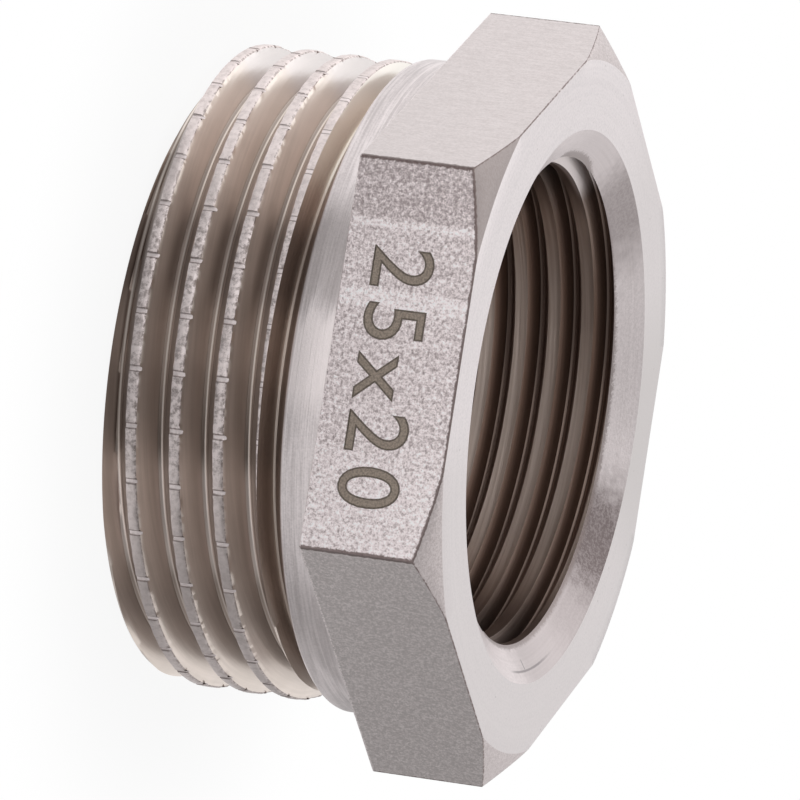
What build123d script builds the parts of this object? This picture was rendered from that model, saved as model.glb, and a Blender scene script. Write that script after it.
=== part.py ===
from build123d import *
import os
from math import ceil, cos, pi, radians, tan

# Driving dimensions, in millimetres. The wall runs from the male crest in to the female root,
# which makes the female thread 26.44 across its roots
total_length = 18.6
hexagon_across_flats = 34.0
hexagon_height = 6.8
collar_length = 2.0
collar_step = 0.25
male_major_diameter = 33.1
male_pitch = 2.309
wall_under_crest = 3.33
female_pitch = 1.814
female_thread_length = 10.0

# Pipe thread form: 55 degrees between the flanks, depth and floor as shares of the pitch
flank_half_angle = 27.5
male_depth_share = 0.64
female_depth_share = 0.49
groove_floor_share = 0.12

# Where the threads start, measured at the middle of the marked flat, which faces -Y
marked_flat_angle = -90.0
male_crest_height = 1.57
female_crest_depth = 1.76

# Relief groove between the male thread and the collar
relief_extra_depth = 0.05
relief_floor_width = 0.12
relief_wall_run = 0.3

# Plain relief behind the female thread, a little wider than the thread
back_relief_margin = 0.2
back_relief_slope = 45.0

# Chamfers, edge breaks and the countersunk mouth
male_end_chamfer = 0.5
bore_end_chamfer = 0.4
collar_edge_break = 0.12
hexagon_chamfer_angle = 25.0
face_circle_margin = 0.8
mouth_margin = 0.93
mouth_half_angle = 58.0

# How far a cutting solid reaches past the surface that it cuts
overrun = 0.15

# Radii of the turned surfaces
male_crest = male_major_diameter / 2
male_root = male_crest - male_depth_share * male_pitch
relief_radius = male_root - relief_extra_depth
collar_radius = male_crest + collar_step
female_root = male_crest - wall_under_crest
female_crest = female_root - female_depth_share * female_pitch
mouth_radius = female_root + mouth_margin
back_relief_radius = female_root + back_relief_margin
face_circle_radius = hexagon_across_flats / 2 + face_circle_margin
hexagon_corner = hexagon_across_flats / 2 / cos(pi / 6)

# Heights above the end of the male thread
flank_slope = tan(radians(flank_half_angle))
hexagon_back = total_length - hexagon_height
collar_front = hexagon_back - collar_length
collar_foot = collar_front - (collar_radius - relief_radius) * flank_slope
relief_foot = collar_foot - relief_floor_width
relief_start = relief_foot - relief_wall_run
relief_middle = (relief_foot + collar_foot) / 2
mouth_foot = total_length - (mouth_radius - female_crest) / tan(radians(mouth_half_angle))
thread_back = total_length - female_thread_length
back_relief_end = thread_back - (back_relief_radius - female_crest) / tan(radians(back_relief_slope))


def turned(corners):
    """A solid of revolution about the Z axis from the (radius, height) corners of its half section."""
    section = make_face(Polyline([(radius, 0, height) for radius, height in corners], close=True))
    return revolve(section, Axis.Z)


def thread_grooves(floor_radius, open_radius, pitch, height, turns):
    """The groove of a right-hand thread, as one piece for each turn.

    The first turn starts over the marked flat with its middle at the given height. The section is a
    trapezoid that widens from its floor to its open side, inward or outward.
    """
    half_floor = groove_floor_share * pitch / 2
    half_open = half_floor + abs(open_radius - floor_radius) * flank_slope
    corners = [
        (floor_radius, 0, -half_floor),
        (open_radius, 0, -half_open),
        (open_radius, 0, half_open),
        (floor_radius, 0, half_floor),
    ]
    section = make_face(Polyline(corners, close=True))
    path = Helix(pitch=pitch, height=pitch, radius=floor_radius)
    turn = Rot(0, 0, marked_flat_angle) * sweep(section, path=path, is_frenet=True)
    return [Pos(0, 0, height + index * pitch) * turn for index in range(turns)]


def threaded_spigot():
    """The male end as far as the middle of the relief groove, with its thread."""
    spigot = turned(
        [
            (0, 0),
            (male_crest - male_end_chamfer, 0),
            (male_crest, male_end_chamfer),
            (male_crest, relief_start),
            (relief_radius, relief_foot),
            (relief_radius, relief_middle),
            (0, relief_middle),
        ]
    )
    first_groove = male_crest_height - male_pitch * 1.5
    turns = ceil((relief_middle - first_groove) / male_pitch) + 1
    open_radius = male_crest + overrun
    return spigot.cut(*thread_grooves(male_root, open_radius, male_pitch, first_groove, turns))


def collar():
    """The plain collar, whose lower side has the slope of a thread flank."""
    return turned(
        [
            (0, relief_middle),
            (relief_radius, relief_middle),
            (relief_radius, collar_foot),
            (collar_radius - collar_edge_break, collar_front - collar_edge_break * flank_slope),
            (collar_radius, collar_front + collar_edge_break),
            (collar_radius, hexagon_back),
            (0, hexagon_back),
        ]
    )


def hexagon_head():
    """The hexagon, with the corners of its front face turned off by a shallow cone."""
    outline = RegularPolygon(hexagon_across_flats / 2, 6, major_radius=False)
    prism = Pos(0, 0, hexagon_back) * extrude(outline, hexagon_height)
    envelope_radius = hexagon_corner + overrun
    envelope_drop = (envelope_radius - face_circle_radius) * tan(radians(hexagon_chamfer_angle))
    envelope = turned(
        [
            (0, hexagon_back - overrun),
            (envelope_radius, hexagon_back - overrun),
            (envelope_radius, total_length - envelope_drop),
            (face_circle_radius, total_length),
            (0, total_length),
        ]
    )
    return prism & envelope


def bore():
    """The through bore: countersunk mouth, female crest, and the wider plain relief at the back."""
    return turned(
        [
            (0, -overrun),
            (back_relief_radius + bore_end_chamfer + overrun, -overrun),
            (back_relief_radius, bore_end_chamfer),
            (back_relief_radius, back_relief_end),
            (female_crest, thread_back),
            (female_crest, mouth_foot),
            (mouth_radius, total_length),
            (mouth_radius, total_length + overrun),
            (0, total_length + overrun),
        ]
    )


def hex_bushing():
    """The finished bushing, threaded outside and in its bore."""
    body = threaded_spigot() + collar() + hexagon_head() - bore()
    turns = ceil(female_thread_length / female_pitch) + 2
    last_groove = total_length - female_crest_depth + female_pitch / 2
    first_groove = last_groove - (turns - 1) * female_pitch
    open_radius = female_crest - overrun
    return body.cut(*thread_grooves(female_root, open_radius, female_pitch, first_groove, turns))


os.makedirs("parts", exist_ok=True)
bushing = hex_bushing()
export_step(bushing, "parts/hex_bushing.step")
print("volume", round(bushing.volume, 1), "valid", bushing.is_valid, "faces", len(bushing.faces()))
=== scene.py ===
import math

import bmesh
import bpy
import numpy as np
from bpy.props import FloatProperty, FloatVectorProperty, StringProperty
from mathutils import Matrix, Vector


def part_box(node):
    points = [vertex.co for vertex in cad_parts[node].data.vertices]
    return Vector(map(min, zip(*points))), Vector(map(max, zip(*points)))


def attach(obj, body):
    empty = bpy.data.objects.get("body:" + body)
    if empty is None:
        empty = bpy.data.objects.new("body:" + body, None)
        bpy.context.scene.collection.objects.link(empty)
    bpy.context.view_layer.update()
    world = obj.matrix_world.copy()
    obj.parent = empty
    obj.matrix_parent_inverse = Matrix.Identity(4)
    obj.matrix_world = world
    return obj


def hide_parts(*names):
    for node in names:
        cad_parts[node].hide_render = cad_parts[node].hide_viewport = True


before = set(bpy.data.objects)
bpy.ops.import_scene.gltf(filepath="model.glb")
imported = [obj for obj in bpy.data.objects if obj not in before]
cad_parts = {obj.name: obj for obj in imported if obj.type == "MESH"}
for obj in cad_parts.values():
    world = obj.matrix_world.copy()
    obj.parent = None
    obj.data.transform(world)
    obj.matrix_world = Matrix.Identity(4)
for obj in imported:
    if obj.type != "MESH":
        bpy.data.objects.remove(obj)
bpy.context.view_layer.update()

bl_info = {
    "name": "Hex Bushing",
    "version": (1, 0, 0),
    "blender": (4, 5, 0),
    "location": "3D View > Sidebar > Bushing",
    "description": "Builds a plated hex bushing with notched pipe threads, its size mark and a stage",
    "category": "Add Mesh",
}

MM = 0.001
NODE = "hex_bushing"
low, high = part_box(NODE)
ACROSS_FLATS = float(high[1] - low[1]) / MM
LENGTH = float(high[2] - low[2]) / MM

# Sizes of the bushing in millimetres, as in the part's source
HEXAGON_HEIGHT = 6.8
COLLAR_LENGTH = 2.0
COLLAR_RADIUS = 16.8
COLLAR_BREAK = 0.12
MALE_CREST = 16.55
MALE_PITCH = 2.309
MALE_CREST_HEIGHT = 1.57
MALE_END_CHAMFER = 0.5
FEMALE_ROOT = 13.22
FEMALE_PITCH = 1.814
FEMALE_CREST_DEPTH = 1.76
FEMALE_LENGTH = 10.0
RELIEF_EXTRA_DEPTH = 0.05
RELIEF_FLOOR = 0.12
RELIEF_WALL_RUN = 0.3
MOUTH_MARGIN = 0.93
BACK_MARGIN = 0.2
BACK_END_CHAMFER = 0.4
FACE_MARGIN = 0.8

# Depth of each thread and width of its floor, as shares of the pitch
MALE_DEPTH_SHARE = 0.64
FEMALE_DEPTH_SHARE = 0.49
FLOOR_SHARE = 0.12

# Slopes of a thread's flank, of the countersink and of the hexagon's front chamfer
FLANK = math.tan(math.radians(27.5))
CONE_SLOPE = math.tan(math.radians(58.0))
CHAMFER_SLOPE = math.tan(math.radians(25.0))

# Radii and heights that follow from these
HEXAGON_BACK = LENGTH - HEXAGON_HEIGHT
COLLAR_FRONT = HEXAGON_BACK - COLLAR_LENGTH
MALE_ROOT = MALE_CREST - MALE_DEPTH_SHARE * MALE_PITCH
FEMALE_CREST = FEMALE_ROOT - FEMALE_DEPTH_SHARE * FEMALE_PITCH
RELIEF_RADIUS = MALE_ROOT - RELIEF_EXTRA_DEPTH
COLLAR_FOOT = COLLAR_FRONT - (COLLAR_RADIUS - RELIEF_RADIUS) * FLANK
RELIEF_FOOT = COLLAR_FOOT - RELIEF_FLOOR
RELIEF_START = RELIEF_FOOT - RELIEF_WALL_RUN
MOUTH_RADIUS = FEMALE_ROOT + MOUTH_MARGIN
MOUTH_FOOT = LENGTH - (MOUTH_RADIUS - FEMALE_CREST) / CONE_SLOPE
BACK_RADIUS = FEMALE_ROOT + BACK_MARGIN
THREAD_BACK = LENGTH - FEMALE_LENGTH
FACE_RADIUS = ACROSS_FLATS / 2 + FACE_MARGIN
HEXAGON_CORNER = ACROSS_FLATS / 2 / math.cos(math.radians(30.0))

# The marked flat faces -Y, and the turn is counted from its middle
MARKED_FLAT = -90.0

# The numbers stand this far proud of the marked flat, which lies as far inside the hexagon
MARK_LIFT = 0.014

# Font size over the height of its numbers, and the spacing of the numbers
FONT_SIZE = 1.38
FONT_SPACING = 1.2

# Camera fitted to the photograph: its place in millimetres, and the directions of its right and its top
CAMERA_PLACE = (33.603, -430.477, 151.888)
CAMERA_RIGHT = (-0.15317, 0.29835, 0.94209)
CAMERA_UP = (-0.98554, -0.11603, -0.12349)

# A tool has scratched the countersink along a part of this circle, and ticked it at this turn
SCRATCH_RADIUS = 13.61
TICK_TURN = 100.8

# Notches across the male crests: the first one's turn, and sizes in millimetres. Each has a floor between two
# sloped walls, pushes the crest's upper edge out, and has a burr on both sides. They fade where the crest is
# higher than their top.
NOTCHES = 36
NOTCH_STEP = 360.0 / NOTCHES
FIRST_NOTCH = -172.8
NOTCH_SPACING = 2.889
NOTCH_HALF_WIDTH = 0.16
NOTCH_WALL = 0.07
NOTCH_DEPTH = 0.07
NOTCH_PUSH = 0.2
NOTCH_TOP = 7.35
NOTCH_FADE = 0.1
BURR_OFFSET = 0.19
BURR_WIDTH = 0.05
BURR_HEIGHT = 0.02

# Worn and rounded edges, in millimetres: the rags of the male crests' upper edges, the waves of their lower
# edges and tops, the dents along the hexagon's edges, and then the roundings
RAG = 0.06
CREST_WAVE = 0.014
FINE_DENT = 0.014
BROAD_DENT = 0.01
CREST_DROP = 0.02
CREST_LOWER_ROUND = 0.05
CREST_UPPER_ROUND = 0.06
FLOOR_RISE = 0.016
FLOOR_HALF_FLAT = 0.025
FLOOR_HALF_WIDTH = 0.08
FEMALE_HALF_FLAT = 0.03
COLLAR_EDGE_INSET = 0.035
COLLAR_EDGE_RISE = 0.02
COLLAR_FILLET_RISE = 0.01
COLLAR_FILLET = 0.02
HEXAGON_ROUND = 0.05
BACK_EDGE_RISE = 0.035
FRONT_EDGE_DROP = 0.005
MOUTH_ROUND = 0.03
MOUTH_DROP = 0.02

# The countersink's end is looked for at this many heights, as far as this past its foot in millimetres
MEETING_STEPS = 400
MEETING_REACH = 0.01

# A row of points part of the way up the plain relief in the bore, and the start of the noise along the male
# crests, in millimetres
BACK_ROW = 3.0
NOISE_START = 500.0

# Points nearer than this in metres are one point, and edges past this angle in degrees stay sharp
MERGE = 2e-7
SHARP_ANGLE = 30.0

# Columns between two notches, in degrees from the notch; every second one also runs over the head
COLUMNS = np.array([-4.6, -4.0, -3.4, -2.8, -2.2, -1.6, -1.1, -0.78, -0.52, -0.26,
                    0.0, 0.26, 0.52, 0.78, 1.15, 1.7, 2.25, 2.8, 3.5, 4.3])

# Surface kinds, which are also the order of the materials
CREST, GROOVE, UNDERSIDE, TURNED, FLATS, CORNER, FACE, MOUTH, BORE, LAND = range(10)


def turn_columns(step):
    """Angles from the middle of the marked flat over one full turn, with the first one again at its end."""
    notches = FIRST_NOTCH + NOTCH_STEP * np.arange(NOTCHES)
    angles = (notches[:, None] + COLUMNS[None, :]).ravel()
    return np.concatenate([angles[1:], angles[:2] + 360.0])[::step]


def blended(numbers, steps):
    """The numbers at whole steps, joined by a cosine blend, and wrapping at the end of the list."""
    count = len(numbers)
    whole = np.floor(steps).astype(int)
    share = 0.5 - 0.5 * np.cos(np.pi * (steps - whole))
    return numbers[whole % count] * (1 - share) + numbers[(whole + 1) % count] * share


def wavy(places, period, seed):
    """Smooth noise from -1 to 1 along a line, with a random number for each period."""
    numbers = np.random.default_rng(seed).uniform(-1.0, 1.0, 4096)
    return blended(numbers, places / period)


def round_noise(angles, period, seed):
    """Smooth noise from -1 to 1 round a full turn without a seam, with a number for each period."""
    count = int(round(360.0 / period))
    numbers = np.random.default_rng(seed).uniform(-1.0, 1.0, count)
    return blended(numbers, np.mod(angles, 360.0) / 360.0 * count)


def thread_radius(heights, angles, crest_height, pitch, crest, root):
    """Radius of a helical thread at a height and angle.

    The distance from the nearest crest's middle is the height less the helix's rise, folded into half a
    pitch. The surface is a flat crest, a straight flank at 27.5 degrees from square, and a flat floor.
    """
    rise = pitch * angles / 360.0
    away = np.abs(np.mod(heights - crest_height - rise + pitch / 2, pitch) - pitch / 2)
    half_floor = FLOOR_SHARE * pitch / 2
    climb = (pitch / 2 - half_floor - away) / FLANK
    sign = 1.0 if crest > root else -1.0
    return root + sign * np.clip(climb, 0.0, abs(crest - root))


class Shell:
    """Collects bands of faces, each a grid of rows and columns, and joins them into one closed mesh."""

    def __init__(self):
        self.points = []
        self.quads = []
        self.kinds = []
        self.fans = []
        self.fan_kinds = []
        self.count = 0

    def band(self, radii, heights, angles, kinds):
        """A grid of points at (radius, height) on each row, turned to each column's angle, with its quads."""
        rows, columns = radii.shape
        turned = np.radians(angles + MARKED_FLAT)
        grid = np.stack([radii * np.cos(turned), radii * np.sin(turned), heights], axis=-1)
        index = self.count + np.arange(rows * columns).reshape(rows, columns)
        quads = np.stack([index[:-1, :-1], index[:-1, 1:], index[1:, 1:], index[1:, :-1]], axis=-1)
        kinds = np.broadcast_to(np.asarray(kinds).reshape(-1, 1), (rows - 1, columns - 1))
        self.points.append(grid.reshape(-1, 3))
        self.quads.append(quads.reshape(-1, 4))
        self.kinds.append(kinds.ravel())
        self.count += rows * columns
        return index

    def fan(self, fine, coarse, kind, turned_over=False):
        """Five-sided faces between a ring and the next one, which has half as many columns.

        The next ring lies higher, or else the faces are turned over.
        """
        faces = np.stack([fine[:-2:2], fine[1:-1:2], fine[2::2], coarse[1:], coarse[:-1]], axis=-1)
        if turned_over:
            faces = faces[:, ::-1]
        self.fans.append(faces)
        self.fan_kinds.append(np.full(len(faces), kind))

    def mesh(self, name):
        """One mesh of all the bands, with the points where they meet merged into single ones."""
        points = np.concatenate(self.points) * MM
        quads = np.concatenate(self.quads)
        fans = np.concatenate(self.fans)
        kinds = np.concatenate(self.kinds + self.fan_kinds)
        loops = np.concatenate([quads.ravel(), fans.ravel()])
        sizes = np.concatenate([np.full(len(quads), 4), np.full(len(fans), 5)])
        mesh = bpy.data.meshes.new(name)
        mesh.vertices.add(len(points))
        mesh.vertices.foreach_set("co", points.ravel())
        mesh.loops.add(len(loops))
        mesh.loops.foreach_set("vertex_index", loops.astype(np.int32))
        mesh.polygons.add(len(sizes))
        mesh.polygons.foreach_set("loop_start", (np.cumsum(sizes) - sizes).astype(np.int32))
        mesh.polygons.foreach_set("material_index", kinds.astype(np.int32))
        mesh.update(calc_edges=True)
        work = bmesh.new()
        work.from_mesh(mesh)
        bmesh.ops.remove_doubles(work, verts=work.verts, dist=MERGE)
        work.to_mesh(mesh)
        work.free()
        mesh.polygons.foreach_set("use_smooth", np.ones(len(mesh.polygons), dtype=bool))
        mesh.set_sharp_from_angle(angle=math.radians(SHARP_ANGLE))
        mesh.validate()
        return mesh


def male_rows():
    """Rows over one pitch of the male thread: distance above the crest's middle, radius, and kind of surface.

    The crest is flat with slightly rounded edges, the flanks are straight, and the floor is a narrow flat
    between two rounded corners. The first five rows are the crest's.
    """
    middle = MALE_PITCH / 2
    half_crest = middle - FLOOR_SHARE * MALE_PITCH / 2 - (MALE_CREST - MALE_ROOT) * FLANK
    depths = (0.3, 0.75, 1.2, 1.4)
    rows = [
        (-half_crest, MALE_CREST - CREST_DROP, CREST),
        (-half_crest + CREST_LOWER_ROUND, MALE_CREST, CREST),
        (0.0, MALE_CREST, CREST),
        (half_crest - CREST_UPPER_ROUND, MALE_CREST, CREST),
        (half_crest, MALE_CREST - CREST_DROP, CREST),
    ]
    rows += [(half_crest + depth * FLANK, MALE_CREST - depth, GROOVE) for depth in (0.09, *depths)]
    rows += [
        (middle - FLOOR_HALF_WIDTH, MALE_ROOT + FLOOR_RISE, GROOVE),
        (middle - FLOOR_HALF_FLAT, MALE_ROOT, GROOVE),
        (middle + FLOOR_HALF_FLAT, MALE_ROOT, GROOVE),
        (middle + FLOOR_HALF_WIDTH, MALE_ROOT + FLOOR_RISE, UNDERSIDE),
    ]
    rows += [(MALE_PITCH - half_crest - depth * FLANK, MALE_CREST - depth, UNDERSIDE)
             for depth in reversed(depths)]
    return rows


def notch_shape(angles):
    """How far a point is inside a notch: 1 on its floor, 0 outside, and how high its burr stands there.

    The distance from the nearest notch is the angle folded into one step, times the crest's radius. The
    burr is a bell curve.
    """
    from_notch = np.mod(angles - FIRST_NOTCH + NOTCH_STEP / 2, NOTCH_STEP) - NOTCH_STEP / 2
    across = np.abs(np.radians(from_notch) * MALE_CREST)
    inside = np.clip((NOTCH_HALF_WIDTH - across) / NOTCH_WALL, 0.0, 1.0)
    burr = np.exp(-((across - BURR_OFFSET) / BURR_WIDTH) ** 2)
    return inside, burr


def add_male_thread(shell, angles):
    """The male end: end chamfer, helical crests with ragged edges and notches, and the relief groove's wall.

    Each helical row is its distance from the crest plus the crest's height, plus the pitch times the share of
    the turn. Rows are held between the end chamfer and the relief groove, where plain rings take over. The
    rags are two sizes of smooth noise, and each notch has a strength of its own.
    """
    inside, burr = notch_shape(angles)
    radii, heights, kinds = [], [], []

    def thread(height):
        return thread_radius(height, angles, MALE_CREST_HEIGHT, MALE_PITCH, MALE_CREST, MALE_ROOT)

    def ring(height):
        """A plain ring whose radius is the thread's, held inside the turned outline."""
        chamfer = MALE_CREST - MALE_END_CHAMFER + height
        down = (height - RELIEF_START) / (RELIEF_FOOT - RELIEF_START)
        relief = MALE_CREST - down * (MALE_CREST - RELIEF_RADIUS)
        radii.append(np.minimum(thread(height), min(chamfer, relief, MALE_CREST)))
        heights.append(np.full(len(angles), height))
        kinds.append(GROOVE)

    for height in np.linspace(0.0, MALE_END_CHAMFER, 6):
        ring(height)
    for turn in range(-2, 6):
        turned = turn + angles / 360.0
        along = NOISE_START + turned * 2 * math.pi * MALE_CREST
        upper_rag = RAG * wavy(along, 0.21, 3) + RAG * wavy(along, 0.8, 4) - RAG / 2
        lower_rag = CREST_WAVE * wavy(along, 0.3, 5)
        surface = CREST_WAVE * wavy(along, 0.45, 6)
        strength = 0.85 + 0.25 * wavy(along, NOTCH_SPACING, 7)
        crest_middle = MALE_CREST_HEIGHT + turned * MALE_PITCH
        notched = np.clip((NOTCH_TOP - crest_middle) / NOTCH_FADE, 0.0, 1.0)
        notch = strength * inside * notched
        for number, (offset, radius, kind) in enumerate(male_rows()):
            height = crest_middle + offset
            row_radius = np.full(len(angles), radius)
            if kind == CREST:
                row_radius = row_radius - NOTCH_DEPTH * notch + BURR_HEIGHT * burr * notched
            if number in (1, 2, 3):
                row_radius = row_radius + surface
            if number == 0:
                height = height + lower_rag
            if number in (3, 4):
                height = height + upper_rag * notched + NOTCH_PUSH * notch
            held = np.clip(height, MALE_END_CHAMFER, RELIEF_START)
            radii.append(np.where(held == height, row_radius, thread(held)))
            heights.append(held)
            kinds.append(kind)
    for height in np.linspace(RELIEF_START, RELIEF_FOOT, 5):
        ring(height)
    return shell.band(np.array(radii), np.array(heights), angles, kinds[:-1])


def hexagon_radius(angles):
    """Distance from the axis to a side: half the width over the cosine of the angle from the side's middle.

    The sides' middles are 60 degrees apart.
    """
    from_middle = np.mod(angles + 30.0, 60.0) - 30.0
    return ACROSS_FLATS / 2 / np.cos(np.radians(from_middle))


def add_head(shell, angles):
    """Relief floor, collar, and the hexagon with its front corners turned off, up to the edge of the mouth.

    The rows are rings, and those of the hexagon follow its sides. The front edge of a side dips by the
    chamfer's slope times how far the side is outside the face's circle.
    """
    side = hexagon_radius(angles)
    from_marked = np.abs(np.mod(angles + 180.0, 360.0) - 180.0)
    side = side - MARK_LIFT * np.clip((29.0 - from_marked) / 2.0, 0.0, 1.0)
    front = LENGTH - np.maximum(0.0, side - FACE_RADIUS) * CHAMFER_SLOPE
    face_edge = np.minimum(side, FACE_RADIUS)
    face_outer = face_edge - HEXAGON_ROUND
    face_inner = MOUTH_RADIUS + MOUTH_ROUND
    edge_wear = FINE_DENT * round_noise(angles, 1.2, 11) + BROAD_DENT * round_noise(angles, 4.0, 12)
    rows = [
        (RELIEF_RADIUS, COLLAR_FOOT, UNDERSIDE),
        (COLLAR_RADIUS - COLLAR_BREAK, COLLAR_FRONT - COLLAR_BREAK * FLANK, TURNED),
        (COLLAR_RADIUS - COLLAR_EDGE_INSET, COLLAR_FRONT + COLLAR_EDGE_RISE, TURNED),
        (COLLAR_RADIUS, COLLAR_FRONT + COLLAR_BREAK, TURNED),
        (COLLAR_RADIUS, HEXAGON_BACK - COLLAR_FILLET_RISE, TURNED),
        (COLLAR_RADIUS + COLLAR_FILLET, HEXAGON_BACK, TURNED),
        (side - HEXAGON_ROUND, HEXAGON_BACK, FLATS),
        (side, HEXAGON_BACK + BACK_EDGE_RISE + edge_wear, FLATS),
    ]
    for share in (0.06, 0.3, 0.55, 0.8, 0.96):
        rows.append((side, HEXAGON_BACK + share * (front - HEXAGON_BACK), FLATS))
    rows += [
        (side, front - HEXAGON_ROUND, CORNER),
        (side - HEXAGON_ROUND - 0.3 * edge_wear, front - FRONT_EDGE_DROP, CORNER),
        (side - HEXAGON_ROUND + 0.5 * (face_edge - side), front + 0.5 * (LENGTH - front), CORNER),
        (face_outer, LENGTH, FACE),
    ]
    for share in (0.35, 0.7, 0.985):
        rows.append((face_outer + share * (face_inner - face_outer), LENGTH, FACE))
    rows.append((face_inner, LENGTH, MOUTH))
    rows.append((MOUTH_RADIUS, LENGTH - MOUTH_DROP, MOUTH))
    flat = np.ones(len(angles))
    radii = np.array([radius * flat for radius, height, kind in rows])
    heights = np.array([height * flat for radius, height, kind in rows])
    kinds = [kind for radius, height, kind in rows]
    return shell.band(radii, heights, angles, kinds[:-1])


def female_rows():
    """Rows over one pitch of the female thread, going down: distance above the crest's middle, radius, kind.

    The shares are how far down a flank a row lies.
    """
    half_floor = FLOOR_SHARE * FEMALE_PITCH / 2
    depth = FEMALE_ROOT - FEMALE_CREST
    half_land = FEMALE_PITCH / 2 - half_floor - depth * FLANK
    shares = (0.35, 0.7, 0.95)
    rows = [
        (half_land, FEMALE_CREST, LAND),
        (0.0, FEMALE_CREST, LAND),
        (-half_land, FEMALE_CREST, BORE),
    ]
    rows += [(-half_land - share * depth * FLANK, FEMALE_CREST + share * depth, BORE) for share in shares]
    rows += [
        (-FEMALE_PITCH / 2 + FEMALE_HALF_FLAT, FEMALE_ROOT, BORE),
        (-FEMALE_PITCH / 2 - FEMALE_HALF_FLAT, FEMALE_ROOT, BORE),
    ]
    rows += [(-FEMALE_PITCH + half_land + share * depth * FLANK, FEMALE_CREST + share * depth, BORE)
             for share in reversed(shares)]
    return rows


def add_bore(shell, angles):
    """The countersink, the female thread, the plain relief behind it and the end chamfer, going down.

    The countersink ends where its cone first meets the thread. The helical rows follow the thread's corners
    as on the male end, and end at the slope that opens into the plain relief.
    """
    crest_height = LENGTH - FEMALE_CREST_DEPTH
    mouth_top = LENGTH - MOUTH_DROP
    radii, heights, kinds = [], [], []

    def thread(level):
        return thread_radius(level, angles, crest_height, FEMALE_PITCH, FEMALE_CREST, FEMALE_ROOT)

    def cone(level):
        return MOUTH_RADIUS - CONE_SLOPE * (LENGTH - level)

    def row(radius, height, kind):
        radii.append(radius)
        heights.append(height)
        kinds.append(kind)

    levels = np.linspace(LENGTH, MOUTH_FOOT - MEETING_REACH, MEETING_STEPS)[:, None]
    reached = thread(levels) >= cone(levels)
    meeting = levels[np.argmax(reached, axis=0), 0]
    for share in (0.0, 0.08, 0.5, 0.94, 1.0):
        radius = MOUTH_RADIUS + share * (cone(meeting) - MOUTH_RADIUS)
        row(radius, mouth_top + share * (meeting - mouth_top), MOUTH if share < 1.0 else BORE)
    for turn in range(2, -7, -1):
        for offset, radius, kind in female_rows():
            height = crest_height + turn * FEMALE_PITCH + offset + FEMALE_PITCH * angles / 360.0
            held = np.clip(height, THREAD_BACK, meeting)
            row_radius = np.where(held == height, radius, thread(held))
            inner = np.where(held > MOUTH_FOOT, cone(held), FEMALE_CREST)
            row(np.maximum(row_radius, inner), held, kind)
    flat = np.ones(len(angles))
    for share in np.linspace(0.0, 1.0, 6):
        out = share * (BACK_RADIUS - FEMALE_CREST)
        height = THREAD_BACK - out
        row(np.maximum(thread(height), FEMALE_CREST + out), height * flat, BORE)
    row(BACK_RADIUS * flat, BACK_ROW * flat, BORE)
    row(BACK_RADIUS * flat, BACK_END_CHAMFER * flat, BORE)
    row((BACK_RADIUS + BACK_END_CHAMFER) * flat, 0.0 * flat, TURNED)
    return shell.band(np.array(radii), np.array(heights), angles, kinds[:-1])


def add_end_face(shell, fine, angles):
    """The flat ring at the male end: a middle ring, then five-sided faces out to the thread's first ring.

    The middle ring lies at nine tenths of the way out.
    """
    thread = thread_radius(0.0, angles, MALE_CREST_HEIGHT, MALE_PITCH, MALE_CREST, MALE_ROOT)
    outer = np.minimum(thread, MALE_CREST - MALE_END_CHAMFER)
    inner = np.full(len(angles), BACK_RADIUS + BACK_END_CHAMFER)
    rows = np.array([inner, inner + 0.9 * (outer - inner)])
    index = shell.band(rows, np.zeros(rows.shape), angles, [TURNED])
    shell.fan(fine, index[-1], TURNED, turned_over=True)


class Num:
    """A number socket that can be used in ordinary arithmetic; each operation adds one Math node."""

    def __init__(self, maker, socket):
        self.maker = maker
        self.socket = socket

    def math(self, operation, *others):
        values = {0: self}
        for place, other in enumerate(others, start=1):
            values[place] = other
        return self.maker.node("ShaderNodeMath", {"operation": operation}, values)

    def __add__(self, other):
        return self.math("ADD", other)

    __radd__ = __add__

    def __sub__(self, other):
        return self.math("SUBTRACT", other)

    def __rsub__(self, other):
        return self.math("MULTIPLY", -1.0).math("ADD", other)

    def __mul__(self, other):
        return self.math("MULTIPLY", other)

    __rmul__ = __mul__

    def __rtruediv__(self, other):
        return self.maker.node("ShaderNodeMath", {"operation": "DIVIDE"}, {0: other, 1: self})

    def power(self, other):
        return self.math("POWER", other)

    def modulo(self, other):
        return self.math("FLOORED_MODULO", other)

    def away(self):
        return self.math("ABSOLUTE")

    def least(self, other):
        return self.math("MINIMUM", other)

    def most(self, other):
        return self.math("MAXIMUM", other)

    def ramp(self, start, end):
        """0 below start, 1 above end, and smooth between; falling where start is above end."""
        values = {"Value": self, "From Min": min(start, end), "From Max": max(start, end)}
        if start > end:
            values.update({"To Min": 1.0, "To Max": 0.0})
        return self.maker.node("ShaderNodeMapRange", {"interpolation_type": "SMOOTHSTEP"}, values)

    def patch(self, start, full, last, end):
        """1 from full to last, 0 before start and after end, and smooth between."""
        return self.ramp(start, full) * self.ramp(end, last)


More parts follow.
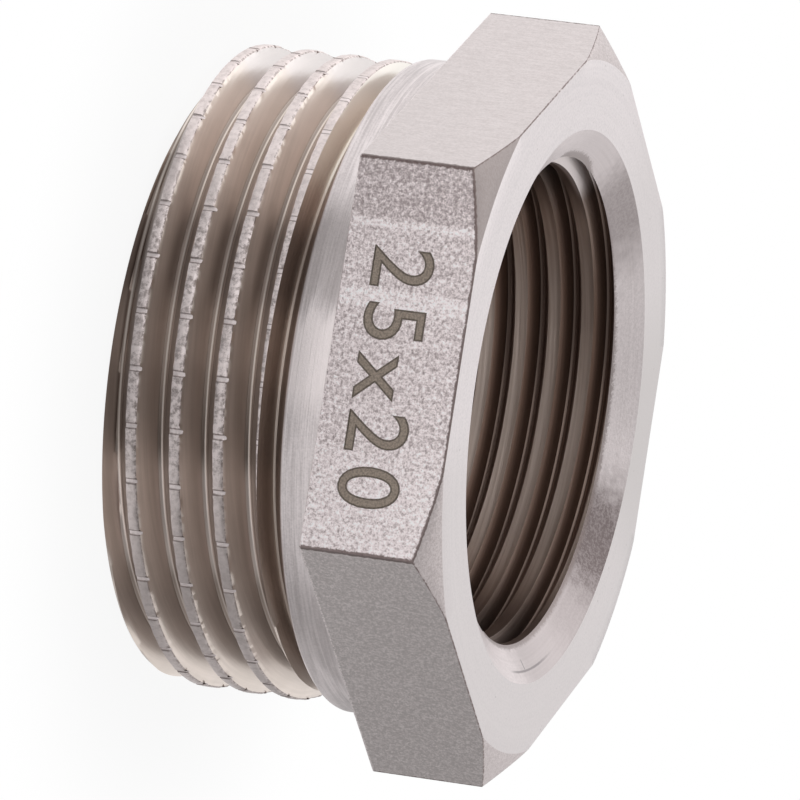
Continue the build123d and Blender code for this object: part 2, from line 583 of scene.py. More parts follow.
class Maker:
    """Builds the nodes of one material, whose plating has a colour, or of a world, whose tree is given."""

    def __init__(self, name=None, plating=None, tree=None):
        self.plating = plating
        self.colour = None
        if tree is None:
            self.material = bpy.data.materials.new(name)
            self.material.use_nodes = True
            self.tree = self.material.node_tree
            self.tree.nodes.clear()
            self.output = self.tree.nodes.new("ShaderNodeOutputMaterial")
        else:
            self.tree = tree
            self.tree.nodes.clear()
            self.output = self.tree.nodes.new("ShaderNodeOutputWorld")
        place = self.tree.nodes.new("ShaderNodeTexCoord").outputs["Object"]
        scaled = self.tree.nodes.new("ShaderNodeVectorMath")
        scaled.operation = "SCALE"
        scaled.inputs["Scale"].default_value = 1.0 / MM
        self.tree.links.new(place, scaled.inputs[0])
        self.place = scaled.outputs[0]
        parts = self.tree.nodes.new("ShaderNodeSeparateXYZ")
        self.tree.links.new(self.place, parts.inputs[0])
        self.x, self.y, self.z = (Num(self, parts.outputs[number]) for number in range(3))

    def node(self, kind, settings=None, values=None, output=0, raw=False):
        """Any node: its settings are set first, then its sockets get values or links; returns one output."""
        node = self.tree.nodes.new(kind)
        for key, value in (settings or {}).items():
            setattr(node, key, value)
        for key, value in (values or {}).items():
            socket = node.inputs[key]
            if isinstance(value, Num):
                self.tree.links.new(value.socket, socket)
            elif isinstance(value, bpy.types.NodeSocket):
                self.tree.links.new(value, socket)
            else:
                socket.default_value = value
        return node.outputs[output] if raw else Num(self, node.outputs[output])

    def vector(self, x, y, z):
        return self.node("ShaderNodeCombineXYZ", {}, {0: x, 1: y, 2: z}, raw=True)

    def noise(self, place, scale, detail, roughness):
        values = {"Vector": place, "Scale": scale, "Detail": detail, "Roughness": roughness}
        return self.node("ShaderNodeTexNoise", {"noise_dimensions": "3D"}, values)

    def grain(self, scale, detail, roughness):
        """Noise that is as fine along the object as across it."""
        return self.noise(self.place, scale, detail, roughness)

    def cells(self, place, scale):
        """Distance from the nearest of some scattered points, in cells."""
        return self.node("ShaderNodeTexVoronoi", {"feature": "F1"}, {"Vector": place, "Scale": scale})

    def ray(self, kind):
        """1 for rays of one kind, such as Is Camera Ray, and 0 for all others."""
        return self.node("ShaderNodeLightPath", output=kind)

    def radius(self):
        return (self.x * self.x + self.y * self.y).power(0.5)

    def turn(self):
        """Degrees from the middle of the marked flat, from 0 to 360."""
        angle = self.y.math("ARCTAN2", self.x) * (180.0 / math.pi)
        return (angle + (720.0 - MARKED_FLAT)).modulo(360.0)

    def from_marked(self):
        """Degrees from the middle of the marked flat, from -180 to 180, less than 0 on the -X side."""
        return (self.turn() + 180.0).modulo(360.0) - 180.0

    def from_middle(self):
        """Degrees from the middle of the nearest flat, from 0 to 30 at a corner."""
        return ((self.turn() + 30.0).modulo(60.0) - 30.0).away()

    def mix(self, share, first, second):
        """A colour between two: the first where the share is 0 and the second where it is 1."""
        values = {0: share, 6: first, 7: second}
        return self.node("ShaderNodeMix", {"data_type": "RGBA"}, values, output=2, raw=True)

    def tint(self, red, green, blue):
        """The plating's colour times three factors, as a socket value."""
        return (self.plating[0] * red, self.plating[1] * green, self.plating[2] * blue, 1.0)

    def base(self, share, first, second):
        """Starts the metal's colour with a mix of two tints, each of three factors."""
        self.colour = self.mix(share, self.tint(*first), self.tint(*second))

    def stain_and_painted_light(self, share, red, green, blue):
        """Mixes a tint into the metal's colour, by a share: real stains, and also painted light and shade."""
        self.colour = self.mix(share, self.colour, self.tint(red, green, blue))

    def metal(self, roughness, height, distance):
        """A plated metal, whose relief is the height from 0 to 1 times a distance in millimetres."""
        relief = self.node("ShaderNodeBump", {}, {"Height": height, "Distance": distance * MM}, raw=True)
        values = {"Base Color": self.colour, "Roughness": roughness, "Metallic": 1.0, "Normal": relief}
        shader = self.node("ShaderNodeBsdfPrincipled", {}, values, raw=True)
        self.tree.links.new(shader, self.output.inputs["Surface"])
        return self.material


def turned_place(maker, fine, round_the_axis=0.12):
    """A place for turning marks: radius and height count fully, and the way round hardly at all."""
    radius = maker.radius()
    return maker.vector(maker.x * round_the_axis, maker.y * round_the_axis, maker.z * fine + radius * fine)


def painted_side_shade(maker):
    """How much painted shade the male thread gets by the way round it, from 0 to 1.

    It has none on the -X side, half in two patches by the mark, most on the +X side, and none again at the
    back.
    """
    # Painted shade round the male thread: none on the lit -X side, most on the +X side
    way = maker.from_marked()
    dark = 0.5 * way.ramp(-31.0, -15.0) - 0.15 * way.ramp(-6.0, 0.0) + 0.2 * way.ramp(2.0, 10.0)
    dark = dark - 0.3 * way.ramp(19.0, 28.0) + 0.5 * way.ramp(46.0, 62.0)
    return (dark - way.ramp(110.0, 170.0)).most(0.0).least(1.0)


def crest_metal(plating):
    """Raw crest tops: pale and pinkish with a torn grain, lighter with painted light on the -X side and
    greyer with painted shade on the +X side.

    A broken rim of painted shade runs along their edges, a painted highlight lies in each notch's floor, and
    a line of painted shadow runs along both sides of each notch.
    """
    maker = Maker("raw_crest", plating)
    grain = maker.grain(3.6, 4.0, 0.65)
    fine = maker.grain(16.0, 2.0, 0.6)
    maker.base((0.85 * grain + 0.15 * fine).ramp(0.34, 0.6), (0.52, 0.48, 0.47), (1.24, 1.2, 1.2))
    # Painted light on the -X side and painted shade on the +X side
    maker.stain_and_painted_light(0.7 - 0.7 * painted_side_shade(maker).ramp(0.0, 0.6), 1.14, 1.1, 1.09)
    calm = maker.from_marked().ramp(8.0, 50.0)
    maker.stain_and_painted_light(0.8 * calm, 0.7, 0.67, 0.66)
    # Painted shade along the crests' edges, broken by the grain
    rim = (MALE_CREST - maker.radius()).ramp(0.025, 0.05) * grain.ramp(0.6, 0.4)
    maker.stain_and_painted_light(0.6 * rim, 0.32, 0.28, 0.25)
    from_notch = (maker.turn() - FIRST_NOTCH + NOTCH_STEP / 2).modulo(NOTCH_STEP) - NOTCH_STEP / 2
    across = from_notch.away() * (math.pi / 180.0 * MALE_CREST) + 0.05 * (grain - 0.5)
    # Painted highlight in each notch's floor and painted shadow along its sides
    maker.stain_and_painted_light(0.8 * across.ramp(0.1, 0.07), 1.2, 1.17, 1.18)
    maker.stain_and_painted_light(0.7 * across.patch(0.1, 0.13, 0.15, 0.19), 0.2, 0.16, 0.15)
    return maker.metal(0.4 + 0.2 * fine, grain + 0.4 * fine, 0.03)


def groove_metal(plating):
    """Thread grooves: smooth and brownish where the plating is thin, with fine marks round the axis.

    Painted shade darkens them with their depth where the thread is shaded, and lies beside their roots. One
    stretch of the turn by the mark gets a dark patch of painted shade and one gets painted light, and painted
    light makes them paler towards the -X side and in the third groove on that side.
    """
    maker = Maker("thread_groove", plating)
    marks = maker.noise(turned_place(maker, 7.0), 1.0, 4.0, 0.65)
    cloud = maker.grain(0.5, 2.0, 0.5)
    maker.base((0.7 * marks + 0.3 * cloud).ramp(0.32, 0.68), (0.88, 0.835, 0.765), (1.06, 1.005, 0.93))
    # Painted shade that deepens towards the roots, where the side is shaded
    painted_depth_shade = (MALE_CREST - maker.radius()).ramp(0.3, 1.4) * (0.6 + 0.8 * cloud) * painted_side_shade(maker)
    maker.stain_and_painted_light(0.6 * painted_depth_shade, 0.42, 0.38, 0.35)
    way = maker.from_marked()
    # Painted light on the -X side: pale, and whiter and greyer further round
    pale = 0.6 * way.patch(-75.0, -62.0, -50.0, -38.0)
    maker.stain_and_painted_light(pale, 1.15, 1.12, 1.05)
    grey = 0.7 * way.patch(-120.0, -95.0, -68.0, -60.0)
    maker.stain_and_painted_light(grey, 1.0, 1.02, 1.04)
    helix = maker.z - MALE_CREST_HEIGHT - maker.turn() * (MALE_PITCH / 360.0)
    from_root = (helix.modulo(MALE_PITCH) - MALE_PITCH / 2).away()
    last_groove = maker.z.ramp(7.8, 8.3)
    shaded_stretch = way.patch(-28.0, -20.0, -11.0, -4.0) * (1.0 - 0.25 * last_groove)
    lit_stretch = way.patch(21.0, 28.0, 42.0, 52.0)
    # Painted shade along both sides of each root
    root_shade = from_root.patch(0.03, 0.07, 0.13, 0.24) * (0.75 + 0.2 * shaded_stretch - 0.55 * lit_stretch)
    maker.stain_and_painted_light(root_shade, 0.24, 0.19, 0.16)
    # A dark patch of painted shade near the roots on one stretch, all over the last groove there
    dark = 0.6 * shaded_stretch * from_root.ramp(0.6, 0.3).most(last_groove)
    maker.stain_and_painted_light(dark, 0.3, 0.27, 0.25)
    # Painted light near the roots on another stretch
    maker.stain_and_painted_light(0.5 * lit_stretch * from_root.ramp(0.4, 0.15), 1.3, 1.22, 1.16)
    # Painted light in the third groove on the -X side
    third_groove = 0.9 * way.ramp(-29.0, -38.0) * maker.z.ramp(7.2, 7.8)
    maker.stain_and_painted_light(third_groove, 1.22, 1.25, 1.18)
    return maker.metal(0.24 + 0.14 * marks, marks, 0.01)


def underside_metal(plating):
    """Flanks that face the male end: darker with painted shade under the threads, most on the +X side and on
    part of the -X side.
    """
    maker = Maker("thread_underside", plating)
    marks = maker.noise(turned_place(maker, 7.0), 1.0, 4.0, 0.65)
    maker.base(marks.ramp(0.32, 0.68), (0.92, 0.86, 0.81), (1.06, 1.0, 0.95))
    way = maker.from_marked()
    # Painted shade under the threads
    dull = 0.25 + 0.75 * painted_side_shade(maker) + 0.25 * way.patch(-110.0, -95.0, -70.0, -60.0)
    maker.stain_and_painted_light(dull, 0.36, 0.33, 0.31)
    return maker.metal(0.3 + 0.14 * marks, marks, 0.01)


def turned_metal(plating):
    """Turned collar and end face: uneven fine lines round the axis, some deep and some rubbed away.

    The collar has two dark patches of painted shade by the mark and a painted highlight between them.
    """
    maker = Maker("turned_collar", plating)
    marks = maker.noise(turned_place(maker, 9.0, 0.1), 1.0, 5.0, 0.75)
    broad = maker.noise(turned_place(maker, 2.2, 0.25), 1.0, 3.0, 0.6)
    grain = maker.grain(9.0, 3.0, 0.6)
    tone = 0.45 * marks + 0.35 * broad + 0.2 * grain
    maker.base(tone.ramp(0.38, 0.62), (0.84, 0.82, 0.83), (1.25, 1.24, 1.26))
    way = maker.from_marked() + 8.0 * (broad - 0.5)
    on_collar = maker.z.ramp(8.0, 8.6)
    # Painted shade in two patches on the collar
    shaded_patches = 0.5 * way.patch(-30.0, -21.0, -11.0, -5.0) + 0.3 * way.patch(38.0, 48.0, 60.0, 68.0)
    maker.stain_and_painted_light(shaded_patches * on_collar, 0.5, 0.48, 0.48)
    # Painted highlight on the collar between the shaded patches
    rub_and_sheen = 0.8 * way.patch(-8.0, -3.0, 6.0, 13.0)
    maker.stain_and_painted_light(rub_and_sheen * on_collar, 1.32, 1.3, 1.31)
    return maker.metal(0.32 + 0.18 * broad, marks + 0.5 * grain, 0.016)


def edge_line(maker, nearest, width):
    """Dark broken line along an edge: 1 where the distance in millimetres is less than a ragged width."""
    ragged = maker.grain(4.5, 3.0, 0.7)
    return (nearest + 0.26 * (ragged - 0.5) - width).ramp(0.03, -0.03)


def flat_metal(plating):
    """Hexagon sides: a coarse bright grain on the marked one, and faint lines along the bar on the others.

    The marked side has painted glints in two strips across it, is darker at its -X end and brighter at its
    +X end, and the side next to it on the +X side is speckled and darkened with painted shade. A dark broken
    line runs along the corners and the front edge, whose height is the length less the chamfer's drop, and a
    painted glint runs along the back edge.
    """
    maker = Maker("hexagon_side", plating)
    way = maker.from_marked()
    marked = way.away().ramp(30.1, 29.9)
    grain = maker.grain(5.0, 3.0, 0.6)
    fine = maker.grain(11.0, 2.0, 0.6)
    lines = maker.noise(maker.vector(maker.x * 4.0, maker.y * 4.0, maker.z * 0.9), 1.0, 4.0, 0.7)
    calm = 0.35 * lines + 0.35 * fine + 0.3 * grain
    darker_end = maker.x.ramp(-6.6, -7.0)
    rub_and_sheen = maker.noise(maker.vector(maker.x * 2.4, maker.y, maker.z * 0.25), 1.0, 2.0, 0.6)
    # Painted glints in two strips across the marked side
    glint = maker.x.patch(-6.9, -6.7, -6.5, -6.3) + maker.x.patch(-3.4, -3.2, -2.5, -2.2)
    wrinkle = maker.noise(maker.vector(maker.x * 6.0, maker.y, maker.z * 1.4), 1.0, 3.0, 0.7)
    coarse = 0.65 * grain + 0.35 * fine + 0.12 * (rub_and_sheen - 0.5) + 0.16 * (wrinkle - 0.5)
    coarse = coarse + 0.06 * glint - 0.05 * darker_end + 0.035 * maker.x.ramp(3.5, 6.0)
    bright = maker.mix(coarse.ramp(0.33, 0.65), maker.tint(0.54, 0.49, 0.5), maker.tint(1.42, 1.38, 1.41))
    plain = maker.mix(calm.ramp(0.34, 0.66), maker.tint(0.86, 0.84, 0.84), maker.tint(1.06, 1.05, 1.06))
    # Painted shade on the side next to the mark on the +X side
    low = way.patch(30.0, 31.0, 89.0, 91.0)
    speckle = (0.5 * fine + 0.5 * grain).ramp(0.4, 0.62)
    plain = maker.mix(low * (0.95 - 0.95 * speckle), plain, maker.tint(0.72, 0.71, 0.71))
    maker.colour = maker.mix(marked, plain, bright)
    front = LENGTH - (maker.radius() - FACE_RADIUS).most(0.0) * CHAMFER_SLOPE
    to_corner = (30.0 - maker.from_middle()) * (math.pi / 180.0 * HEXAGON_CORNER)
    corner_line = edge_line(maker, to_corner, 0.06 + 0.06 * way.away().ramp(33.0, 31.0))
    line = corner_line.most(edge_line(maker, front - maker.z, 0.03 + 0.09 * marked))
    maker.stain_and_painted_light(0.85 * line, 0.2, 0.15, 0.14)
    # Painted glint along the hexagon's back edge
    burr = edge_line(maker, maker.z - HEXAGON_BACK, 0.05 + 0.06 * low) * fine.ramp(0.4, 0.5)
    maker.stain_and_painted_light(0.8 * burr, 1.3, 1.28, 1.3)
    height = (1.0 - marked) * 0.6 * calm + marked * 1.5 * (grain + 0.4 * fine)
    return maker.metal(0.34 + 0.2 * fine, height, 0.05)


def corner_metal(plating):
    """Corner chamfers: the grain of the hexagon's sides, with a dark line where they meet them.

    The side's distance from the axis is half the width over the cosine of the angle from its middle. The
    chamfer on the mark's -X side is darkened with painted shade.
    """
    maker = Maker("corner_chamfer", plating)
    grain = maker.grain(7.0, 3.0, 0.7)
    fine = maker.grain(17.0, 2.0, 0.6)
    maker.base((0.6 * grain + 0.4 * fine).ramp(0.35, 0.65), (0.66, 0.63, 0.63), (0.92, 0.9, 0.91))
    way = maker.from_marked()
    # Painted shade on the chamfer on the mark's -X side
    dark = 0.75 * way.patch(-62.0, -48.0, -22.0, -10.0)
    maker.stain_and_painted_light(dark, 0.4, 0.37, 0.36)
    side = ACROSS_FLATS / 2 / (maker.from_middle() * (math.pi / 180.0)).math("COSINE")
    line = edge_line(maker, side - maker.radius(), 0.04 + 0.05 * way.away().ramp(31.0, 29.0))
    maker.stain_and_painted_light(0.8 * line, 0.22, 0.17, 0.16)
    return maker.metal(0.4 + 0.15 * fine, grain, 0.02)


def face_metal(plating):
    """Front face: smooth and pale, with faint turning lines and a few pits, and duller on the +X side."""
    maker = Maker("turned_face", plating)
    marks = maker.noise(turned_place(maker, 5.0, 0.05), 1.0, 3.0, 0.6)
    fine = maker.grain(8.0, 3.0, 0.6)
    tone = 0.3 * marks + 0.7 * fine
    maker.base(tone.ramp(0.34, 0.6), (0.88, 0.88, 0.9), (1.0, 1.0, 1.02))
    turn = maker.turn()
    dull = 0.4 * turn.patch(8.0, 24.0, 228.0, 258.0) + 0.5 * turn.patch(150.0, 176.0, 190.0, 214.0)
    maker.stain_and_painted_light(dull, 0.78, 0.79, 0.79)
    pits = maker.cells(maker.vector(maker.x, maker.y, 0.0), 1.3).ramp(0.1, 0.06) * fine.ramp(0.5, 0.56)
    maker.stain_and_painted_light(0.6 * pits, 0.45, 0.43, 0.43)
    return maker.metal(0.36 + 0.06 * marks, fine, 0.004)


def mouth_metal(plating):
    """Countersink: pale, mottled and darkened with painted shade on its +X side and its far -X side, and torn
    where it meets the bore.

    A tool has left a scratch along a circle and a short tick across it.
    """
    maker = Maker("countersink", plating)
    marks = maker.noise(turned_place(maker, 6.0, 0.08), 1.0, 3.0, 0.6)
    grain = maker.grain(6.5, 4.0, 0.7)
    cloud = maker.grain(1.6, 3.0, 0.6)
    maker.base((0.3 * marks + 0.7 * grain).ramp(0.32, 0.68), (0.88, 0.86, 0.87), (1.08, 1.06, 1.08))
    turn = maker.turn() + 12.0 * (cloud - 0.5)
    # Painted shade by the way round, broken up by a mottled grain
    mottle_and_shade = 0.4 * turn.ramp(88.0, 106.0) + 0.12 * turn.ramp(118.0, 132.0) + 0.43 * turn.ramp(134.0, 152.0)
    mottle_and_shade = mottle_and_shade - 0.95 * turn.ramp(158.0, 178.0) + 0.64 * turn.ramp(210.0, 234.0)
    mottle_and_shade = mottle_and_shade - 0.38 * turn.ramp(243.0, 256.0) - 0.26 * turn.ramp(270.0, 295.0)
    maker.stain_and_painted_light(mottle_and_shade * (0.88 + 0.24 * grain.ramp(0.4, 0.6)), 0.25, 0.22, 0.22)
    arc = (maker.radius() - SCRATCH_RADIUS + 0.06 * (grain - 0.5)).away().ramp(0.07, 0.03)
    arc = arc * maker.turn().patch(89.0, 96.0, 108.0, 120.0)
    tick = (maker.turn() - TICK_TURN).away().ramp(0.35, 0.15)
    tick = tick * maker.radius().patch(13.0, 13.15, SCRATCH_RADIUS - 0.1, SCRATCH_RADIUS)
    maker.stain_and_painted_light(0.7 * arc.most(tick), 0.25, 0.24, 0.25)
    wide = 0.5 * turn.patch(252.0, 266.0, 278.0, 290.0)
    torn = (maker.radius() - FEMALE_CREST - wide + 0.5 * (grain - 0.5)).ramp(0.3, 0.1)
    maker.stain_and_painted_light(0.7 * torn, 0.3, 0.26, 0.25)
    return maker.metal(0.34 + 0.12 * grain, grain, 0.012)


def bore_painted_shade(maker):
    """Where the bore gets painted shade, from 0 to 1: all round but for a strip on the far side from the
    mark.
    """
    turn = maker.turn()
    return turn.ramp(146.0, 118.0) + turn.ramp(232.0, 256.0)


def cone_left(maker):
    """1 where the countersink's cone runs on between the thread's first grooves, and 0 on the thread."""
    cone = MOUTH_RADIUS - (LENGTH - maker.z) * CONE_SLOPE
    kept = (maker.radius() - cone).away().ramp(0.04, 0.02)
    kept = kept * maker.z.ramp(MOUTH_FOOT - 0.02, MOUTH_FOOT + 0.02)
    return kept * (maker.turn().ramp(274.0, 290.0) + maker.turn().ramp(130.0, 100.0))


def lit_first_groove(maker):
    """1 on the wall of the female thread's first groove, on the -X side, which painted light brightens."""
    return maker.turn().patch(243.0, 252.0, 280.0, 292.0) * maker.z.patch(16.3, 16.5, 17.1, 17.25)


def bore_shade_and_light(maker, *shade_tint):
    """The bore's painted shade, the pale cone that runs into it at the mouth, and painted light on the wall
    of the groove that runs in there.
    """
    # Painted shade round the bore
    maker.stain_and_painted_light(bore_painted_shade(maker), *shade_tint)
    maker.stain_and_painted_light(cone_left(maker), 0.98, 0.96, 0.97)
    # Painted light on the first groove's wall
    maker.stain_and_painted_light(0.9 * lit_first_groove(maker), 1.2, 1.18, 1.18)


def bore_metal(plating):
    """Flanks and roots of the female thread: dark brown, since the plating hardly reached them, and darker
    with painted shade towards the roots.
    """
    maker = Maker("bore_thread", plating)
    marks = maker.noise(turned_place(maker, 6.0), 1.0, 3.0, 0.6)
    maker.base(marks.ramp(0.3, 0.7), (0.62, 0.52, 0.45), (0.78, 0.67, 0.6))
    # Painted shade that deepens towards the roots
    painted_depth_shade = (maker.radius() - FEMALE_CREST).ramp(0.0, 0.55)
    maker.stain_and_painted_light(painted_depth_shade, 0.36, 0.29, 0.25)
    bore_shade_and_light(maker, 0.2, 0.16, 0.14)
    return maker.metal(0.3 + 0.14 * marks, marks, 0.01)


def land_metal(plating):
    """Crests of the female thread: smooth, lighter than the flanks, and darker in their upper half with
    painted shade.
    """
    maker = Maker("bore_land", plating)
    marks = maker.noise(turned_place(maker, 6.0), 1.0, 3.0, 0.6)
    maker.base(marks.ramp(0.3, 0.7), (1.0, 0.89, 0.79), (1.2, 1.1, 1.0))
    helix = maker.z - (LENGTH - FEMALE_CREST_DEPTH) - maker.turn() * (FEMALE_PITCH / 360.0)
    along = (helix + FEMALE_PITCH / 2).modulo(FEMALE_PITCH) - FEMALE_PITCH / 2
    # Painted shade over the upper half of each crest
    maker.stain_and_painted_light(0.6 * along.ramp(0.0, 0.36), 0.55, 0.46, 0.4)
    bore_shade_and_light(maker, 0.34, 0.28, 0.25)
    return maker.metal(0.32 + 0.12 * marks, marks, 0.01)


def mark_metal(name, shade):
    """Laser marking: a thin brown oxide film with the grain of the metal under it."""
    maker = Maker(name, shade)
    grain = maker.grain(9.0, 4.0, 0.7)
    maker.base(grain.ramp(0.34, 0.66), (0.75, 0.75, 0.75), (1.3, 1.3, 1.3))
    return maker.metal(0.5, grain, 0.02)


# In the order of the surface kinds
METALS = (crest_metal, groove_metal, underside_metal, turned_metal, flat_metal,
          corner_metal, face_metal, mouth_metal, bore_metal, land_metal)


class BushingFinish(bpy.types.PropertyGroup):
    """Colours that a user would change."""

    plating: FloatVectorProperty(
        name="Plating", description="Colour of the nickel plating", subtype="COLOR", size=3,
        min=0.0, max=1.0, default=(0.765, 0.71, 0.70))
    mark_colour: FloatVectorProperty(
        name="Mark", description="Colour of the laser-marked numbers", subtype="COLOR", size=3,
        min=0.0, max=1.0, default=(0.3, 0.25, 0.21))


class BushingStageSettings(bpy.types.PropertyGroup):
    """The stage's sizes."""

    floor_width: FloatProperty(
        name="Floor width", description="Width of the square floor", default=4.0, min=0.5, unit="LENGTH",
        subtype="DISTANCE")
    lens: FloatProperty(name="Lens", description="Focal length of the camera in millimetres", default=400.35,
                        min=10.0)


def link(name, mesh):
    made = bpy.data.objects.new(name, mesh)
    bpy.context.scene.collection.objects.link(made)
    return made


class BUSHING_OT_body(bpy.types.Operator):
    """Build the bushing as one closed mesh: male thread, collar, hexagon, countersink and female thread"""

    bl_idname = "bushing.body"
    bl_label = "Build bushing"

    def execute(self, context):
        plating = list(context.scene.bushing_finish.plating)
        fine = turn_columns(1)
        coarse = turn_columns(2)
        shell = Shell()
        male = add_male_thread(shell, fine)
        head = add_head(shell, coarse)
        shell.fan(male[-1], head[0], GROOVE)
        add_bore(shell, coarse)
        add_end_face(shell, male[0], coarse)
        body = link("bushing_body", shell.mesh("bushing_body"))
        for make in METALS:
            body.data.materials.append(make(plating))
        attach(body, "root")
        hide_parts(NODE)
        return {"FINISHED"}


class BUSHING_OT_mark(bpy.types.Operator):
    """Laser-mark plain numbers on the marked flat"""

    bl_idname = "bushing.mark"
    bl_label = "Mark numbers"

    numbers: StringProperty(name="Numbers", description="The plain numbers on the flat", default="25x20")
    height: FloatProperty(name="Height", description="Height of the numbers", default=0.0033, unit="LENGTH",
                          subtype="DISTANCE")
    middle: FloatVectorProperty(name="Middle", description="Middle of the numbers along the flat and up it",
                                size=2, default=(0.001, 0.0147), unit="LENGTH", subtype="TRANSLATION")

    def execute(self, context):
        """Two layers, each with its outline's growth in millimetres, its share of the lift and its shade."""
        film = list(context.scene.bushing_finish.mark_colour)
        edge = [0.5 * part for part in film]
        for name, offset, lift, shade in (("mark_edge", 0.035, 0.5, edge), ("mark_fill", -0.05, 1.0, film)):
            curve = bpy.data.curves.new(name, "FONT")
            curve.body = self.numbers
            curve.size = self.height * FONT_SIZE
            curve.offset = offset * MM
            curve.align_x = "CENTER"
            curve.align_y = "CENTER"
            curve.space_character = FONT_SPACING
            curve.resolution_u = 6
            text = link(name, curve)
            context.view_layer.update()
            mesh = bpy.data.meshes.new_from_object(text)
            bpy.data.objects.remove(text)
            out = (ACROSS_FLATS / 2 - (1.0 - lift) * MARK_LIFT) * MM
            along, up = self.middle
            mesh.transform(Matrix(((1, 0, 0, along), (0, 0, -1, -out), (0, 1, 0, up), (0, 0, 0, 1))))
            piece = link(name, mesh)
            piece.data.materials.clear()
            piece.data.materials.append(mark_metal(name, shade))
            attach(piece, "root")
        return {"FINISHED"}


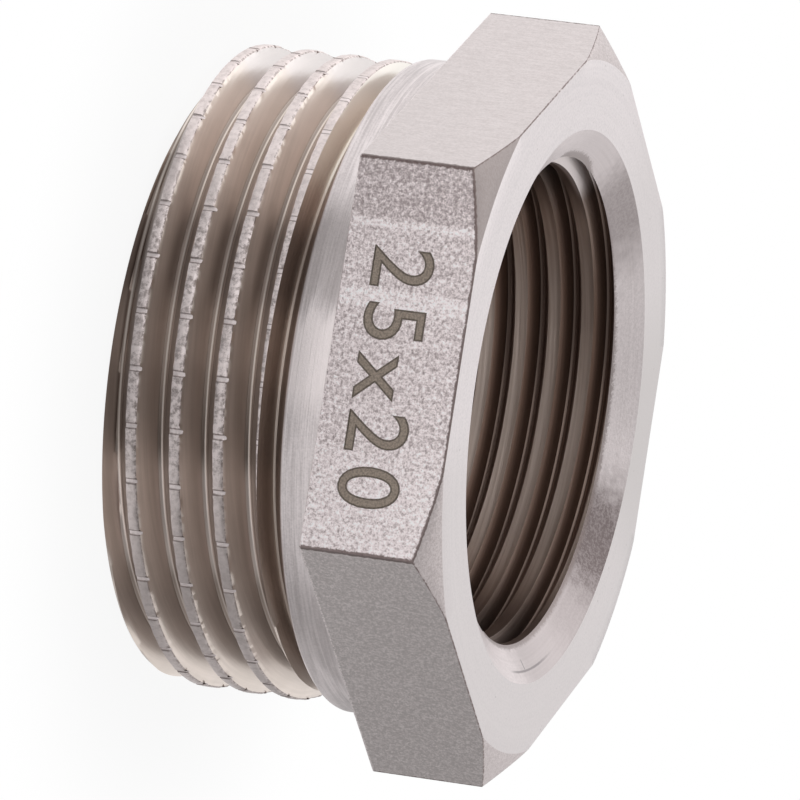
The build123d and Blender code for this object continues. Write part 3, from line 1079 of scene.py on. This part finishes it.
class BUSHING_OT_stage(bpy.types.Operator):
    """Plain pale floor, soft light and the camera"""

    bl_idname = "bushing.stage"
    bl_label = "Build stage"

    def execute(self, context):
        settings = context.scene.bushing_stage
        half = settings.floor_width / 2
        mesh = bpy.data.meshes.new("floor")
        corners = [(-half, -half, 0), (half, -half, 0), (half, half, 0), (-half, half, 0)]
        mesh.from_pydata(corners, [], [(0, 1, 2, 3)])
        mesh.materials.append(self.floor_paint())
        floor = link("floor", mesh)
        self.light_world(context)
        self.add_lamps()
        self.add_camera(context, settings.lens)
        context.scene.view_settings.view_transform = "Standard"
        return {"FINISHED"}

    def floor_paint(self):
        """White to the camera with the shadow near the bushing, pale to light, and a painted reflection level
        in metal.
        """
        maker = Maker("floor")

        def blend(share, first, second):
            return maker.node("ShaderNodeMixShader", {}, {0: share, 1: first, 2: second}, raw=True)

        away = 0.9 + 0.1 * maker.radius().ramp(17.0, 32.0)
        paint = maker.node("ShaderNodeBsdfDiffuse", {}, {"Color": (0.85, 0.85, 0.85, 1.0)}, raw=True)
        shade = maker.node("ShaderNodeBsdfDiffuse", {}, {"Color": (0.02, 0.02, 0.02, 1.0)}, raw=True)
        glow = maker.node("ShaderNodeEmission", {}, {"Color": (1, 1, 1, 1), "Strength": 1.0}, raw=True)
        # Painted reflection: glossy rays see the floor glow at a painted level
        mirrored = blend(self.painted_reflection_level(maker), shade, glow)
        lit = blend(maker.ray("Is Glossy Ray"), paint, mirrored)
        both = blend(maker.ray("Is Camera Ray") * away, lit, glow)
        maker.tree.links.new(both, maker.output.inputs["Surface"])
        return maker.material

    def painted_reflection_level(self, maker):
        """Painted reflection: how bright the floor glows in metal, by the way round the bushing and the
        distance from its axis.

        The far level is pale on the -X side and behind, with a painted dark patch left of the mark, and
        greyer on the +X side. The near level is pale on the -X side alone, and a little paler close by the
        bushing.
        """
        way = maker.from_marked()
        far = 1.0 - 0.14 * way.ramp(22.0, 45.0) - 0.4 * way.ramp(45.0, 95.0) + 0.54 * way.ramp(140.0, 175.0)
        far = far - 0.55 * way.patch(-54.0, -42.0, -34.0, -22.0)
        near = 0.24 + 0.68 * way.ramp(-36.0, -50.0) + 0.14 * way.patch(-40.0, -28.0, -20.0, -8.0)
        near = near + 0.2 * way.patch(18.0, 34.0, 44.0, 58.0) + 0.4 * way.ramp(72.0, 95.0)
        near = near + 0.25 * way.ramp(150.0, 178.0)
        close = 0.24 - 0.1 * way.ramp(-48.0, -36.0) + 0.2 * way.ramp(14.0, 30.0)
        near = near + close * maker.radius().ramp(28.0, 23.0)
        return near + (far - near) * maker.radius().ramp(28.0, 42.0)

    def light_world(self, context):
        """Soft sky: bright behind the bushing and on its left, darker by the camera, and white where seen."""
        world = bpy.data.worlds.new("soft_studio")
        world.use_nodes = True
        context.scene.world = world
        maker = Maker(tree=world.node_tree)
        direction = maker.node("ShaderNodeTexCoord", output="Generated", raw=True)
        parts = maker.tree.nodes.new("ShaderNodeSeparateXYZ")
        maker.tree.links.new(direction, parts.inputs[0])
        x = Num(maker, parts.outputs["X"])
        behind = Num(maker, parts.outputs["Y"]).ramp(-0.35, 0.75)
        left = (-1.0 * x).ramp(-0.2, 0.9)
        level = 0.25 + 0.72 * behind + 0.3 * left * (1.0 - behind)
        strength = level + maker.ray("Is Camera Ray") * (1.0 - level)
        glow = maker.node("ShaderNodeBackground", {}, {"Color": (1, 1, 1, 1), "Strength": strength}, raw=True)
        maker.tree.links.new(glow, maker.output.inputs["Surface"])

    def add_lamps(self):
        """Soft boxes that point at the bushing, each with a place, a size in metres and its watts."""
        lamps = (
            ("side_softbox", (-0.15, 0.05, 0.12), 0.32, 0.14),
            ("front_softbox", (-0.06, -0.2, 0.16), 0.3, 0.17),
        )
        for name, place, size, power in lamps:
            light = bpy.data.lights.new(name, "AREA")
            light.size = size
            light.energy = power
            lamp = link(name, light)
            lamp.location = place
            lamp.rotation_euler = (-lamp.location).to_track_quat("-Z", "Y").to_euler()

    def add_camera(self, context, lens):
        """The camera, whose matrix has its right, its up, its back and its place as columns."""
        data = bpy.data.cameras.new("camera")
        data.lens = lens
        data.sensor_width = 36.0
        camera = link("camera", data)
        right = Vector(CAMERA_RIGHT)
        up = Vector(CAMERA_UP)
        columns = (right, up, right.cross(up), Vector(CAMERA_PLACE) * MM)
        rows = [[column[row] for column in columns] for row in range(3)]
        camera.matrix_world = Matrix(rows + [[0, 0, 0, 1]])
        context.scene.camera = camera


class BUSHING_PT_panel(bpy.types.Panel):
    """Lists the bushing's operators and settings"""

    bl_label = "Bushing"
    bl_idname = "BUSHING_PT_panel"
    bl_space_type = "VIEW_3D"
    bl_region_type = "UI"
    bl_category = "Bushing"

    def draw(self, context):
        for operator in (BUSHING_OT_body, BUSHING_OT_mark, BUSHING_OT_stage):
            self.layout.operator(operator.bl_idname)
        for name in ("plating", "mark_colour"):
            self.layout.prop(context.scene.bushing_finish, name)
        for name in ("floor_width", "lens"):
            self.layout.prop(context.scene.bushing_stage, name)


CLASSES = (BushingFinish, BushingStageSettings, BUSHING_OT_body, BUSHING_OT_mark, BUSHING_OT_stage,
           BUSHING_PT_panel)


def register():
    for made in CLASSES:
        bpy.utils.register_class(made)
    bpy.types.Scene.bushing_finish = bpy.props.PointerProperty(type=BushingFinish)
    bpy.types.Scene.bushing_stage = bpy.props.PointerProperty(type=BushingStageSettings)


def unregister():
    del bpy.types.Scene.bushing_stage
    del bpy.types.Scene.bushing_finish
    for made in reversed(CLASSES):
        bpy.utils.unregister_class(made)


def main():
    register()
    bpy.ops.bushing.body()
    bpy.ops.bushing.mark()
    bpy.ops.bushing.stage()


if __name__ == "__main__":
    main()
